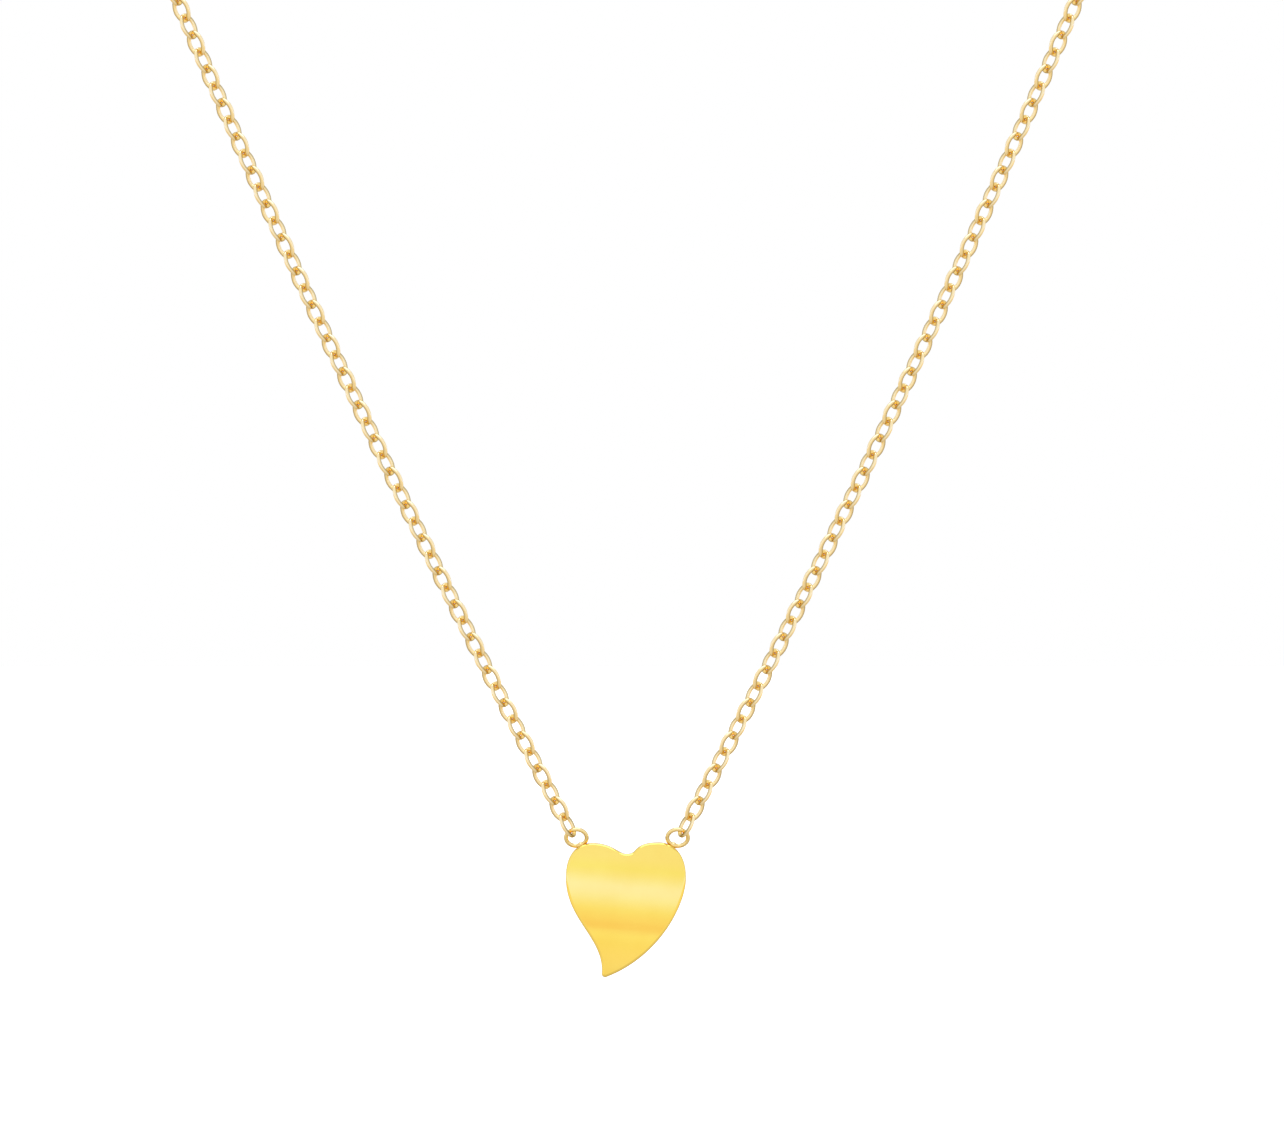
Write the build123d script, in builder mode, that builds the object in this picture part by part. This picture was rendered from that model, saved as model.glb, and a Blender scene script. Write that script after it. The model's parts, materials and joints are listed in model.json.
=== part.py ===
from build123d import *
from math import asinh, atan2, cos, cosh, degrees, pi, radians, sin
import os

# Pendant necklace: a swept heart hung from two soldered rings on a fine cable
# chain, closed at the nape by a spring-ring clasp. Millimetres, +Z up, the
# heart faces -Y. The origin lies on the flat back of the heart, midway between
# its rings and level with its widest part. Left is the -X side.

# Chain: oval links of flattened wire, each a quarter turn on from its neighbour.
chain_wire = 0.30  # in the plane of the link
chain_wire_thickness = 0.22
chain_wire_corner = 0.08
link_half_length = 0.855  # centre line, along the chain
link_half_width = 0.62  # centre line, across the chain
link_end_radius = 0.48  # centre line, round each end
link_gap = 0.05  # free play between two touching links
link_pitch = 2 * link_half_length - chain_wire - link_gap

# Front of the chain: it hangs as a catenary in one upright plane.
catenary_scale = 145.7
catenary_slope = 1.885  # rise over run where it leaves the pendant
chain_plane_y = -1.05
hang_x = 4.07
hang_z = 3.13
segment_count = 12
segment_links = 6
front_links = segment_links * segment_count

# Back of the chain: it climbs round the neck to the clasp.
neck_nodes = 5
neck_links = 90
neck_side = Vector(51, 36, 113.5)
neck_slope = Vector(0, 1, 0.35).normalized()
front_top_handle = 18  # handles shape a curve's bulge near each of its ends
neck_side_handle_in = 20
neck_side_handle_out = 25
nape_handle = 27
clasp_y = 82.2
clasp_z = 129

# How far the links are turned about the chain, from facing the front.
quarter_turn = 45
front_lean = -5
first_link_lean = -15

# Heart plate: flat back, front crowned about an axis that falls slightly to the right.
heart_thickness = 1.2
crown_radius = 30
crown_z = -2.6
crown_lean = 5.3
front_edge_radius = 0.2
back_edge_radius = 0.12
notch_radius = 0.89
notch_z = 1.57
notch_half_angle = 25
left_lobe = Vector(-2.55, 2.37)
left_side = Vector(-4.52, -0.15)
right_lobe = Vector(2.33, 2.42)
right_side = Vector(4.36, -0.15)
tip_radius = 0.24
tip_centre = (-1.62, -7.30)
tip_start_lean = 4
tip_end_lean = 21

# Handles of the heart's curves: how far each keeps to its direction at either end.
left_handles = {
    "notch": 0.51,
    "lobe_in": 1.13,
    "lobe_out": 0.95,
    "side_in": 1.93,
    "side_out": 3.16,
    "tip": 2.67,
}
right_handles = {
    "notch": 0.33,
    "lobe_in": 1.57,
    "lobe_out": 1.13,
    "side_in": 1.69,
    "side_out": 2.02,
    "tip": 4.18,
}

# Rings soldered to the top edge of the heart.
heart_ring_radius = 0.765
heart_ring_wire = 0.30
heart_ring_gap = 0.08
heart_ring_tilt = 35
solder_radius = 0.24
solder_angle = 25  # from the ring's lowest point towards the middle of the heart

# Spring-ring clasp: a bent tube with a sprung tongue across its gate.
# Angles run round the clasp, from +X towards +Z.
clasp_radius = 2.1
case_thickness = 1.0
bore_thickness = 0.72
gate_start = 40
gate_end = 85
spring_stop = 250
tongue_thickness = 0.66
tongue_tip = 36
tongue_tail = 128
tongue_end_radius = 0.1
socket_start = 34
latch_travel = 50
nub_angle = 97
nub_stem = 0.24
nub_head = 0.56
nub_height = 0.32
nub_rounding = 0.12
slot_width = 0.30
slot_play = 5
eye_radius = 0.55
eye_wire = 0.35
eye_sink = 0.10
spring_wire = 0.09
spring_thickness = 0.62
spring_turns = 11
spring_end_gap = 2.5  # degrees
coil_steps = 12 * spring_turns

# Rings that join the clasp to the two chain ends.
clasp_gap = 0.05
jump_ring_radius = 0.9
jump_ring_wire = 0.35
jump_ring_cut = 3  # degrees left open at its butt joint
end_ring_radius = 1.1
end_ring_wire = 0.40

os.makedirs("parts", exist_ok=True)


def outward(frame, angle):
    """Direction away from the frame's Z axis at an angle from its X axis."""
    return frame.x_dir.rotate(Axis((0, 0, 0), frame.z_dir), angle)


def section_plane(frame, angle):
    """Plane across a wire bent round the frame's Z axis, its x pointing outwards."""
    x_dir = outward(frame, angle)
    return Plane(origin=frame.origin, x_dir=x_dir, z_dir=x_dir.cross(frame.z_dir))


def bent_wire(frame, radius, thickness, start=0, arc=360):
    """Round wire bent to an arc about the frame's Z axis."""
    with BuildPart() as bend:
        with BuildSketch(section_plane(frame, start)):
            with Locations((radius, 0)):
                Circle(thickness / 2)
        revolve(axis=Axis(frame.origin, frame.z_dir), revolution_arc=arc)
    return bend.part


def link_bend(frame, radius, start, arc):
    """Flattened chain wire bent to an arc about the frame's Z axis."""
    with BuildPart() as bend:
        with BuildSketch(section_plane(frame, start)):
            with Locations((radius, 0)):
                RectangleRounded(chain_wire, chain_wire_thickness, chain_wire_corner)
        revolve(axis=Axis(frame.origin, frame.z_dir), revolution_arc=arc)
    return bend.part


def mirrored(plane):
    """The same place on the other side of the plane of symmetry, X = 0."""
    flipped = [Vector(-v.X, v.Y, v.Z) for v in (plane.origin, plane.x_dir, plane.z_dir)]
    return Plane(origin=flipped[0], x_dir=flipped[1], z_dir=flipped[2])


def save(piece, name):
    """Label a finished piece and write it under the same name."""
    piece.part.label = name
    export_step(piece.part, f"parts/{name}.step")


# One link: two tight end bends joined by two shallow side bends.
end_centre = link_half_length - link_end_radius
side_radius = (link_half_width**2 + end_centre**2 - link_end_radius**2) / (
    2 * (link_half_width - link_end_radius)
)
side_centre = side_radius - link_half_width
side_half_arc = degrees(atan2(end_centre, side_centre))
end_half_arc = 90 - side_half_arc

with BuildPart() as link:
    for way in (1, -1):
        turned = 90 * (1 - way)
        end_frame = Plane((way * end_centre, 0, 0))
        side_frame = Plane((0, -way * side_centre, 0))
        add(link_bend(end_frame, link_end_radius, turned - end_half_arc, 2 * end_half_arc))
        add(link_bend(side_frame, side_radius, turned + 90 - side_half_arc, 2 * side_half_arc))


# The points where neighbouring links touch, on the right side, from the
# pendant up the catenary and then round the neck to the clasp.
chain_start_turn = asinh(catenary_slope)
chain_direction = Vector(1, 0, catenary_slope).normalized()
pendant_hinge = Vector(hang_x, chain_plane_y, hang_z)
first_contact = pendant_hinge + chain_direction * (
    link_half_length - (chain_wire + heart_ring_gap + link_pitch) / 2
)


def front_contact(number):
    """Contact point a number of links up the hanging part of the chain."""
    turn = asinh(catenary_slope + number * link_pitch / catenary_scale)
    run = catenary_scale * (turn - chain_start_turn)
    rise = catenary_scale * (cosh(turn) - cosh(chain_start_turn))
    return first_contact + Vector(run, 0, rise)


case_offset = clasp_radius + (case_thickness + eye_wire) / 2 + eye_radius - eye_sink
jump_ring_offset = (
    case_offset + eye_radius + jump_ring_radius - (eye_wire + jump_ring_wire) / 2 - clasp_gap
)
end_ring_offset = (
    clasp_radius + end_ring_radius - (case_thickness + end_ring_wire) / 2 - clasp_gap
)


def chain_end(ring_offset, ring_radius, ring_wire):
    """Distance from the clasp's middle to the last contact point of the chain beyond a ring."""
    last_link = ring_offset + ring_radius - (ring_wire + chain_wire) / 2 - clasp_gap + link_half_length
    return last_link - link_pitch / 2


left_reach = chain_end(jump_ring_offset, jump_ring_radius, jump_ring_wire)
right_reach = chain_end(end_ring_offset, end_ring_radius, end_ring_wire)
neck_end = Vector((left_reach + right_reach) / 2, clasp_y, clasp_z)
clasp_x = (left_reach - right_reach) / 2
clasp_frame = Plane((clasp_x, clasp_y, clasp_z), x_dir=(1, 0, 0), z_dir=(0, -1, 0))


def smooth_curve(start, start_handle, end_handle, end):
    """Control points of a cubic that leaves and arrives along its two handles."""
    return start, start + start_handle, end - end_handle, end


front_top = front_contact(front_links)
top_slope = (front_top - front_contact(front_links - 1)).normalized()
collar_curve = smooth_curve(
    front_top, top_slope * front_top_handle, neck_slope * neck_side_handle_in, neck_side
)
nape_curve = smooth_curve(
    neck_side, neck_slope * neck_side_handle_out, Vector(-nape_handle, 0, 0), neck_end
)
with BuildLine() as neck_line:
    Bezier(*collar_curve)
    Bezier(*nape_curve)
neck_curve = neck_line.wire()

contacts = [front_contact(number) for number in range(front_links)]
contacts += [neck_curve @ (number / neck_links) for number in range(neck_links + 1)]

# Carry the front's outward normal along the chain, then spread the twist left
# over at the clasp evenly along the neck, so that the last link lies flat
# against the nape.
axes = [(high - low).normalized() for low, high in zip(contacts, contacts[1:])]
normals = []
normal = Vector(0, -1, 0)
for axis in axes:
    normal = (normal - axis * normal.dot(axis)).normalized()
    normals.append(normal)


def quarter(number):
    """Each link is a quarter turn on from the one before."""
    return quarter_turn if number % 2 else -quarter_turn


def turned_normal(number, lean):
    """Normal of a link turned about the chain by its own quarter turn and a lean."""
    return normals[number].rotate(Axis((0, 0, 0), axes[number]), quarter(number) + lean)


last = len(axes) - 1
last_normal = turned_normal(last, front_lean)
nape = Vector(0, 1, 0)
twist = degrees(atan2(axes[last].dot(last_normal.cross(nape)), last_normal.dot(nape)))
neck_twist = (twist + 90) % 180 - 90


def link_lean(number):
    """Lean of each link: set on the front, growing evenly round the neck."""
    if number == 0:
        return first_link_lean
    return front_lean + neck_twist * max(0, number - front_links + 1) / neck_links


right_places = [
    Plane(
        origin=(contacts[number] + contacts[number + 1]) / 2,
        x_dir=axes[number],
        z_dir=turned_normal(number, link_lean(number)),
    )
    for number in range(last + 1)
]
sides = {"left": [mirrored(place) for place in right_places], "right": right_places}


def save_chain(name, places):
    """Write one stretch of chain: the same link at each place, as separate solids."""
    with BuildPart() as chain:
        with Locations(*places):
            add(link.part)
    save(chain, name)


for side, places in sides.items():
    for segment in range(segment_count):
        top = front_links - segment * segment_links
        save_chain(f"{side}_chain_{segment + 1:02d}", places[top - segment_links : top])
    for stretch in range(neck_nodes):
        low = front_links + stretch * neck_links // neck_nodes
        high = front_links + (stretch + 1) * neck_links // neck_nodes
        save_chain(f"{side}_neck_chain_{stretch + 1}", places[low:high])


# Heart rings: each hangs on the first link and is soldered to the plate below.
ring_plane = Plane((0, 0, 0), x_dir=(1, 0, 0), z_dir=Vector(0, -1, 0).rotate(Axis.X, heart_ring_tilt))
ring_up = ring_plane.y_dir
pull = (chain_direction - ring_plane.z_dir * chain_direction.dot(ring_plane.z_dir)).normalized()
ring_centre = (
    pendant_hinge
    + chain_direction * (heart_ring_wire + heart_ring_gap) / 2
    - pull * heart_ring_radius
)
right_ring_frame = Plane(ring_centre, x_dir=ring_plane.x_dir, z_dir=ring_plane.z_dir)

heart_rings = {}
for side, frame in (("left", mirrored(right_ring_frame)), ("right", right_ring_frame)):
    with BuildPart() as heart_ring:
        add(bent_wire(frame, heart_ring_radius, heart_ring_wire))
        inwards = -frame.origin.X / abs(frame.origin.X) * solder_angle
        solder_way = (-ring_up).rotate(Axis((0, 0, 0), -ring_plane.z_dir), inwards)
        with Locations(frame.origin + solder_way * heart_ring_radius):
            Sphere(solder_radius, rotation=(0, 90, 0))
    heart_rings[side] = heart_ring

# Heart plate. Each side of the outline runs from the notch over its lobe, down
# past its widest point and on to the tip, as three smooth cubic curves.
notch_slope = Vector(cos(radians(notch_half_angle)), sin(radians(notch_half_angle)))
tip_start_slope = Vector(-sin(radians(tip_start_lean)), -cos(radians(tip_start_lean)))
tip_end_slope = Vector(-cos(radians(tip_end_lean)), -sin(radians(tip_end_lean)))
down = Vector(0, -1)


def heart_side(notch_end, way, handles, lobe, side, tip_slope, tip_end):
    """The three curves of one side; way is 1 on the right and -1 on the left."""
    slope = Vector(way * notch_slope.X, notch_slope.Y)
    level = Vector(way, 0)
    Bezier(*smooth_curve(notch_end, slope * handles["notch"], level * handles["lobe_in"], lobe))
    Bezier(*smooth_curve(lobe, level * handles["lobe_out"], down * handles["side_in"], side))
    Bezier(*smooth_curve(side, down * handles["side_out"], tip_slope * handles["tip"], tip_end))


with BuildPart() as heart_plate:
    with BuildSketch(Plane.XZ):
        with BuildLine():
            notch_centre = (0, notch_z + notch_radius)
            notch_start = 270 - notch_half_angle
            notch = CenterArc(notch_centre, notch_radius, notch_start, 2 * notch_half_angle)
            tip_start = 180 - tip_start_lean
            tip = CenterArc(tip_centre, tip_radius, tip_start, 90 + tip_start_lean + tip_end_lean)
            heart_side(notch @ 1, 1, right_handles, right_lobe, right_side, tip_end_slope, tip @ 1)
            heart_side(notch @ 0, -1, left_handles, left_lobe, left_side, tip_start_slope, tip @ 0)
        make_face()
    extrude(amount=heart_thickness)
    with Locations((0, crown_radius - heart_thickness, crown_z)):
        Cylinder(crown_radius, 2 * crown_radius, rotation=(0, 90 + crown_lean, 0), mode=Mode.INTERSECT)
    fillet(heart_plate.faces().sort_by(Axis.Y)[0].edges(), front_edge_radius)
    fillet(heart_plate.faces().sort_by(Axis.Y)[-1].edges(), back_edge_radius)

    for heart_ring in heart_rings.values():
        add(heart_ring.part, mode=Mode.SUBTRACT)
save(heart_plate, "heart_plate")
for side, heart_ring in heart_rings.items():
    save(heart_ring, f"{side}_heart_ring")


def tube_arc(thickness, start, end):
    """Part of the clasp's own bend, as a round bar of the given thickness."""
    return bent_wire(clasp_frame, clasp_radius, thickness, start, end - start)


def radial_plane(angle, distance):
    """Plane facing outwards from the clasp's axis."""
    facing = outward(clasp_frame, angle)
    return Plane(clasp_frame.origin + facing * distance, x_dir=clasp_frame.z_dir, z_dir=facing)


# Clasp case: a bored ring, open at the gate, with a slot for the thumb nub and
# a short socket for the tip of the tongue.
tube_outside = clasp_radius + case_thickness / 2
with BuildPart() as clasp_case:
    add(tube_arc(case_thickness, gate_end, gate_start + 360))
    add(tube_arc(bore_thickness, gate_end, spring_stop), mode=Mode.SUBTRACT)
    add(tube_arc(bore_thickness, socket_start, gate_start), mode=Mode.SUBTRACT)
    with BuildSketch(section_plane(clasp_frame, nub_angle - slot_play)):
        with Locations((clasp_radius, 0)):
            Rectangle(case_thickness, slot_width, align=(Align.MIN, Align.CENTER))
    revolve(
        axis=Axis(clasp_frame.origin, clasp_frame.z_dir),
        revolution_arc=latch_travel + 2 * slot_play,
        mode=Mode.SUBTRACT,
    )
save(clasp_case, "clasp_case")

# Eye soldered to the outside of the case, opposite the end ring.
eye_frame = Plane(
    clasp_frame.origin - clasp_frame.x_dir * case_offset,
    x_dir=clasp_frame.x_dir,
    z_dir=clasp_frame.z_dir,
)
with BuildPart() as clasp_eye:
    add(bent_wire(eye_frame, eye_radius, eye_wire))
    add(tube_arc(case_thickness, 90, 270), mode=Mode.SUBTRACT)
save(clasp_eye, "clasp_eye")

# Thumb nub: a stem pressed into the tongue, with a rounded head outside the slot.
with BuildPart() as latch_nub:
    with BuildSketch(radial_plane(nub_angle, clasp_radius)):
        Circle(nub_stem / 2)
    extrude(amount=case_thickness / 2 + clasp_gap)
    with BuildSketch(radial_plane(nub_angle, tube_outside + clasp_gap)):
        Circle(nub_head / 2)
    extrude(amount=nub_height)
    fillet(latch_nub.edges().filter_by(GeomType.CIRCLE).group_by(SortBy.RADIUS)[-1], nub_rounding)
save(latch_nub, "latch_nub")

# Tongue: a bent bar that slides in the bore and closes the gate.
with BuildPart() as latch_tongue:
    add(tube_arc(tongue_thickness, tongue_tip, tongue_tail))
    fillet(latch_tongue.edges().filter_by(lambda edge: edge.is_closed), tongue_end_radius)
    add(latch_nub.part, mode=Mode.SUBTRACT)
save(latch_tongue, "latch_tongue")


def coil_point(share):
    """Point on the spring's wire, a share of the way from the tongue to the stop."""
    angle = tongue_tail + spring_end_gap + share * (spring_stop - tongue_tail - 2 * spring_end_gap)
    coil = section_plane(clasp_frame, angle)
    turn = 2 * pi * spring_turns * share
    reach = (spring_thickness - spring_wire) / 2
    return coil.from_local_coords(Vector(clasp_radius + reach * cos(turn), reach * sin(turn), 0))


with BuildPart() as latch_spring:
    with BuildLine() as coil_line:
        Spline(*[coil_point(step / coil_steps) for step in range(coil_steps + 1)])
    with BuildSketch(Plane(origin=coil_line.line @ 0, z_dir=coil_line.line % 0)):
        Circle(spring_wire / 2)
    sweep()
save(latch_spring, "latch_spring")

# Rings at the two ends of the chain: both lie level, square to the clasp.
jump_ring_centre = clasp_frame.origin - clasp_frame.x_dir * jump_ring_offset
end_ring_centre = clasp_frame.origin + clasp_frame.x_dir * end_ring_offset
with BuildPart() as jump_ring:
    add(bent_wire(Plane(jump_ring_centre), jump_ring_radius, jump_ring_wire, 90, 360 - jump_ring_cut))
save(jump_ring, "jump_ring")
with BuildPart() as end_ring:
    add(bent_wire(Plane(end_ring_centre), end_ring_radius, end_ring_wire))
save(end_ring, "end_ring")
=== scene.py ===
import json
import math

import bmesh
import bpy
import numpy as np
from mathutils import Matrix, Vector
from mathutils.geometry import delaunay_2d_cdt

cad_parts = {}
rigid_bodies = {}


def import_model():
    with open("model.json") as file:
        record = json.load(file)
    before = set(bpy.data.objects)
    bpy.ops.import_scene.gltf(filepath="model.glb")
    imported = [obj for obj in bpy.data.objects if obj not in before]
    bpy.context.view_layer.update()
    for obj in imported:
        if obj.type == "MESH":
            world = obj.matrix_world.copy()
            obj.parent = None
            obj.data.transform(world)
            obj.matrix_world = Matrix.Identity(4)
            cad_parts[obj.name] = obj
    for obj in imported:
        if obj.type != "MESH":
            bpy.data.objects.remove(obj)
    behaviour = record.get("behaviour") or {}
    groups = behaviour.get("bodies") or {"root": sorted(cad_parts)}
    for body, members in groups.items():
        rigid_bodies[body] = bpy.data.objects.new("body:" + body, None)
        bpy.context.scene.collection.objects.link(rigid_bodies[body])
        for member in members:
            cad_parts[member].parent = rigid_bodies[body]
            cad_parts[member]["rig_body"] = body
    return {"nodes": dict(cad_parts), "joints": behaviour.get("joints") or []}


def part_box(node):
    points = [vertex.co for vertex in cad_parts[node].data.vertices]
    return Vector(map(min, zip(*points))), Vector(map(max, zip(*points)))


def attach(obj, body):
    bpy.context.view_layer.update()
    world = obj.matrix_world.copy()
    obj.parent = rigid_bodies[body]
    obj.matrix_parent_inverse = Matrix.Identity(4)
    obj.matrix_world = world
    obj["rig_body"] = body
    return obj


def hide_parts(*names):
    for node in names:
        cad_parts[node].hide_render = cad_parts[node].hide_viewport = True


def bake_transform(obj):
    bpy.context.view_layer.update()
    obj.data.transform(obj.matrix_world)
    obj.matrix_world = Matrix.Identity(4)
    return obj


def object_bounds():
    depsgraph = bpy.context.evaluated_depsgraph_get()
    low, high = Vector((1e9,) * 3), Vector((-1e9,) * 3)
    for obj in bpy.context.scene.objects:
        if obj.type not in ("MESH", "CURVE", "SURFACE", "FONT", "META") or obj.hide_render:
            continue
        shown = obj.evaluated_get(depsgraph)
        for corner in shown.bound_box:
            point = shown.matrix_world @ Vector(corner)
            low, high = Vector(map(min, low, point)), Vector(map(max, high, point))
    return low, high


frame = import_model()
cad_low, cad_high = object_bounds()

MM = 0.001
SIDES = {"left": -1, "right": 1}
joint_places = {j["name"]: np.array(j["pos_m"]) / MM for j in frame["joints"]}

# Sizes in millimetres, the same as the CAD model's.
CHAIN_WIRE = 0.30
CHAIN_WIRE_THICKNESS = 0.22
CHAIN_WIRE_CORNER = 0.08
LINK_HALF_LENGTH = 0.855
LINK_HALF_WIDTH = 0.62
LINK_END_RADIUS = 0.48
LINK_PITCH = 1.36
END_SWELL = 0.12
END_START = 0.7
MEETING_DISTANCE = 0.3
SEAM_POINTS = (-0.11, -0.055, -0.03, -0.012, 0.0, 0.012, 0.03, 0.055, 0.11)
SEAM_CLEARANCE = 0.13
# Where the painted shade along one edge of each link's front face starts, and how far it fades in, across
# the wire.
SHADE_EDGE_START = 0.35
SHADE_EDGE_FADE = 0.5

HEART_THICKNESS = 1.2
CROWN_RADIUS = 30.0
CROWN_Z = -2.6
FRONT_EDGE_RADIUS = 0.2
BACK_EDGE_RADIUS = 0.12
CROWN_LEAN = math.radians(5.3)
NOTCH_RADIUS = 0.89
NOTCH_Z = 1.57
NOTCH_HALF_ANGLE = math.radians(25)
LEFT_LOBE, LEFT_SIDE = (-2.55, 2.37), (-4.52, -0.15)
RIGHT_LOBE, RIGHT_SIDE = (2.33, 2.42), (4.36, -0.15)
LEFT_HANDLES = (0.51, 1.13, 0.95, 1.93, 3.16, 2.67)
RIGHT_HANDLES = (0.33, 1.57, 1.13, 1.69, 2.02, 4.18)
TIP_RADIUS = 0.24
TIP_CENTRE = np.array([-1.62, -7.30])
TIP_START_LEAN = math.radians(4)
TIP_END_LEAN = math.radians(21)

HEART_RING_RADIUS = 0.765
HEART_RING_WIRE = 0.30
HEART_RING_GAP = 0.08
HEART_RING_TILT = math.radians(35)
SOLDER_RADIUS = 0.24
SOLDER_ANGLE = math.radians(25)
SOLDER_LENGTH = 0.17
CATENARY_SLOPE = 1.885

CLASP_RADIUS = 2.1
CASE_THICKNESS = 1.0
BORE_THICKNESS = 0.72
GATE_START = 40
GATE_END = 85
SPRING_STOP = 250
SOCKET_START = 34
TONGUE_THICKNESS = 0.66
TONGUE_TIP = 36
TONGUE_TAIL = 128
TONGUE_END_RADIUS = 0.1
LATCH_TRAVEL = 50
NUB_ANGLE = 97
NUB_STEM = 0.24
NUB_HEAD = 0.56
NUB_HEIGHT = 0.32
NUB_ROUNDING = 0.12
SLOT_WIDTH = 0.30
SLOT_PLAY = 5
EYE_RADIUS = 0.55
EYE_WIRE = 0.35
EYE_SINK = 0.10
SPRING_WIRE = 0.09
SPRING_THICKNESS = 0.62
SPRING_TURNS = 11
SPRING_END_GAP = 2.5
CLASP_GAP = 0.05
JUMP_RING_RADIUS = 0.9
JUMP_RING_WIRE = 0.35
JUMP_RING_CUT = 3
END_RING_RADIUS = 1.1
END_RING_WIRE = 0.40

FLOOR_RADIUS = 1.6
FLOOR_DROP = 0.4
SKY_STRENGTH = 2.0
VIEW_DISTANCE = 0.50
VIEW_WIDTH = 94.8
VIEW_CENTRE = (1.107, -1.05, 22.7)
SENSOR_WIDTH = 36


# ---------------------------------------------------------------- mesh helpers


def unit(vector):
    return vector / np.linalg.norm(vector)


def make_object(name, points, faces, material, smooth_angle=None, normals=None):
    """A mesh object from points in millimetres; its place is in its mesh."""
    mesh = bpy.data.meshes.new(name)
    mesh.from_pydata((np.asarray(points) * MM).tolist(), [], faces)
    mesh.validate()
    mesh.shade_smooth()
    if smooth_angle is not None:
        mesh.set_sharp_from_angle(angle=math.radians(smooth_angle))
    if normals is not None:
        mesh.normals_split_custom_set_from_vertices(np.asarray(normals).tolist())
    mesh.materials.append(material)
    made = bpy.data.objects.new(name, mesh)
    bpy.context.scene.collection.objects.link(made)
    return made


def place(made, body, slot, *nodes):
    """Let a piece ride on its body and hide the CAD nodes it replaces."""
    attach(made, body)
    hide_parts(*nodes)


def grid_faces(rows, columns, closed_rows, closed_columns):
    """Quads between rings of points: rows of columns."""
    faces = []
    for row in range(rows if closed_rows else rows - 1):
        above = (row + 1) % rows
        for column in range(columns if closed_columns else columns - 1):
            after = (column + 1) % columns
            faces.append(
                (
                    row * columns + column,
                    row * columns + after,
                    above * columns + after,
                    above * columns + column,
                )
            )
    return faces


def tube(centres, firsts, seconds, radii, sides, closed):
    """A round wire through centres: each ring spans its own two directions."""
    turns = (np.arange(sides) * 2 * math.pi / sides)[None, :, None]
    radii = np.broadcast_to(np.asarray(radii, float), (len(centres),))
    ring = np.cos(turns) * firsts[:, None, :] + np.sin(turns) * seconds[:, None, :]
    points = (centres[:, None, :] + ring * radii[:, None, None]).reshape(-1, 3)
    faces = grid_faces(len(centres), sides, closed, True)
    if not closed:
        tail = (len(centres) - 1) * sides
        faces.append(tuple(range(sides))[::-1])
        faces.append(tuple(tail + i for i in range(sides)))
    return points, faces


def arc_tube(centre, x_dir, z_dir, radius, angles, radii, sides, closed):
    """A wire bent round an axis; angles in radians from x_dir towards z_dir x x_dir."""
    y_dir = np.cross(z_dir, x_dir)
    out = np.cos(angles)[:, None] * x_dir + np.sin(angles)[:, None] * y_dir
    up = np.broadcast_to(-z_dir, out.shape)
    return tube(centre + out * radius, out, up, radii, sides, closed)


def rounded_section(width, thickness, corner, steps):
    """Outline of a flattened wire: a rectangle with rounded corners."""
    points = []
    for quarter in range(4):
        across, up = ((1, 1), (-1, 1), (-1, -1), (1, -1))[quarter]
        for turn in (quarter + np.linspace(0, 1, steps + 1)) * math.pi / 2:
            points.append(
                (
                    across * (width / 2 - corner) + corner * math.cos(turn),
                    up * (thickness / 2 - corner) + corner * math.sin(turn),
                )
            )
    return np.array(points)


def rounded_ends(lengths, radius, rounding):
    """Radius along a bar whose two ends are rounded off."""
    ends = np.minimum(lengths, lengths[-1] - lengths)
    inside = np.clip(rounding - ends, 0, rounding)
    return radius - rounding + np.sqrt(rounding**2 - inside**2)


# ---------------------------------------------------------------- materials


def node_material(name):
    material = bpy.data.materials.new(name)
    material.use_nodes = True
    nodes = material.node_tree.nodes
    return material, nodes, material.node_tree.links, nodes["Principled BSDF"]


def add_noise(nodes, links, source, scale, detail, roughness):
    noise = nodes.new("ShaderNodeTexNoise")
    noise.inputs["Scale"].default_value = scale
    noise.inputs["Detail"].default_value = detail
    noise.inputs["Roughness"].default_value = roughness
    links.new(source, noise.inputs["Vector"])
    return noise


def add_range(nodes, links, value, low, high, to_low, to_high):
    shift = nodes.new("ShaderNodeMapRange")
    shift.inputs["From Min"].default_value = low
    shift.inputs["From Max"].default_value = high
    shift.inputs["To Min"].default_value = to_low
    shift.inputs["To Max"].default_value = to_high
    links.new(value, shift.inputs["Value"])
    return shift.outputs["Result"]


def add_mix(nodes, links, share, low, high):
    """Blend of two colours, each given as a colour or as a socket."""
    mix = nodes.new("ShaderNodeMix")
    mix.data_type = "RGBA"
    links.new(share, mix.inputs["Factor"])
    for colour, socket in ((low, mix.inputs["A"]), (high, mix.inputs["B"])):
        if isinstance(colour, tuple):
            socket.default_value = (*colour, 1)
        else:
            links.new(colour, socket)
    return mix.outputs["Result"]


# Painted shade and painted reflection where pieces meet: orange for light bounced between the parts, brown
# for the deepest shade.
CONTACT_SHADE_REFLECTION_TONE = (1.0, 0.70, 0.22)
DEEP_PAINTED_SHADE_TONE = (0.52, 0.26, 0.02)


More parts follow.
